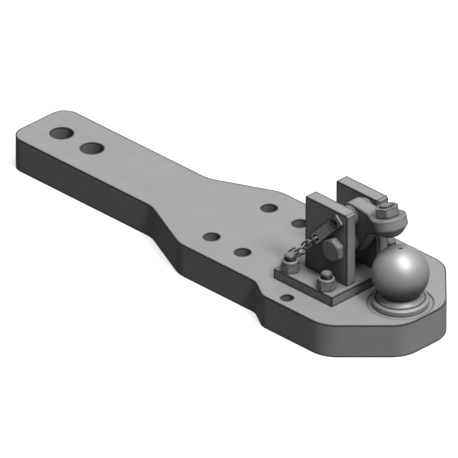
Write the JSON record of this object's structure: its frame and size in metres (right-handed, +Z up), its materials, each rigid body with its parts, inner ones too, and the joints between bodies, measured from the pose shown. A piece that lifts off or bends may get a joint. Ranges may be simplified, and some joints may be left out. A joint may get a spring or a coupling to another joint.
{
  "type": "drawbar mounting plate with coupling ball",
  "caption": "Thick drawbar plate with a narrow bored shank, a coupling ball at its nose and a bolted bracket whose pinned arm holds a coupling down on the ball.",
  "frame": {"origin": "on the axis of the rear shank hole, at the plate's underside", "axes": "+X along the plate towards the coupling ball, +Y across it away from the pin's handle, +Z up"},
  "size_m": [0.76, 0.24, 0.1949],
  "materials": {
    "plate_steel": "satin grey coat on flame-cut steel plate",
    "forged_steel": "satin grey coat on a forging",
    "turned_steel": "turned, satin",
    "fastener_steel": "plain steel fasteners",
    "pin_steel": "plain steel bar",
    "chain_steel": "welded link chain"
  },
  "bodies": {
    "root": {"drawbar_plate": "plate_steel", "coupling_ball": "turned_steel", "ball_retaining_washer": "fastener_steel", "ball_retaining_screw": "fastener_steel", "bracket_base": "plate_steel", "cheek_near": "plate_steel", "cheek_far": "plate_steel", "pivot_bolt": "fastener_steel", "pivot_washer": "fastener_steel", "pivot_nut": "fastener_steel", "anchor_tab": "pin_steel", "base_bolt_rear_near": "fastener_steel", "base_bolt_rear_far": "fastener_steel", "base_bolt_front_near": "fastener_steel", "base_bolt_front_far": "fastener_steel", "lock_nut_rear_near": "fastener_steel", "lock_nut_rear_far": "fastener_steel", "lock_nut_front_near": "fastener_steel", "lock_nut_front_far": "fastener_steel", "chain_link_02": "chain_steel", "chain_link_03": "chain_steel", "chain_link_04": "chain_steel", "chain_link_05": "chain_steel", "chain_link_06": "chain_steel", "chain_link_07": "chain_steel", "chain_link_08": "chain_steel", "chain_link_09": "chain_steel", "chain_link_10": "chain_steel", "chain_link_11": "chain_steel"},
    "pin": {"locking_pin": "pin_steel", "pin_handle": "pin_steel", "chain_link_01": "chain_steel"},
    "arm": {"hold_down_arm": "forged_steel", "adjusting_screw": "fastener_steel", "adjusting_lock_nut": "fastener_steel", "pressure_pad": "pin_steel"}
  },
  "joints": [
    {"name": "pin_slide", "type": "slide", "parent": "root", "child": "pin", "axis": [0, -1, 0], "range_m": [0, 0.09], "deforming": ["chain_link_02", "chain_link_03", "chain_link_04", "chain_link_05"]},
    {"name": "arm_play", "type": "hinge", "parent": "root", "child": "arm", "pos_m": [0.576, 0, 0.118], "axis": [0, -1, 0], "range_deg": [0, 1.85]}
  ]
}
